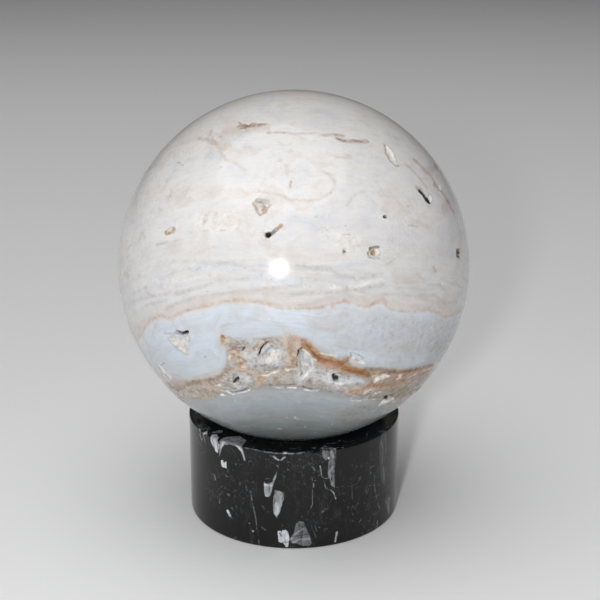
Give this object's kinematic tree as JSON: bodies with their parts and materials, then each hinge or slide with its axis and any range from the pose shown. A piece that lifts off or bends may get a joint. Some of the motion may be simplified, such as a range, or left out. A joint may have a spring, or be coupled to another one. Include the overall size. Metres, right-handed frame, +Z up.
{
  "type": "stone sphere on a ring stand",
  "caption": "Polished banded calcite ball with a band of open crystal pockets, resting loose in the mouth of a black fossil marble ring stand.",
  "frame": {"origin": "middle of the ring stand's underside", "axes": "+Z up through the ring and the ball, -Y towards the side with the pocketed band"},
  "size_m": [0.164, 0.164, 0.2032],
  "materials": {
    "banded_calcite": "polished, with rough crystalline pockets",
    "fossil_marble": "polished"
  },
  "bodies": {
    "root": {"ball": "banded_calcite", "ring_stand": "fossil_marble"}
  },
  "joints": []
}
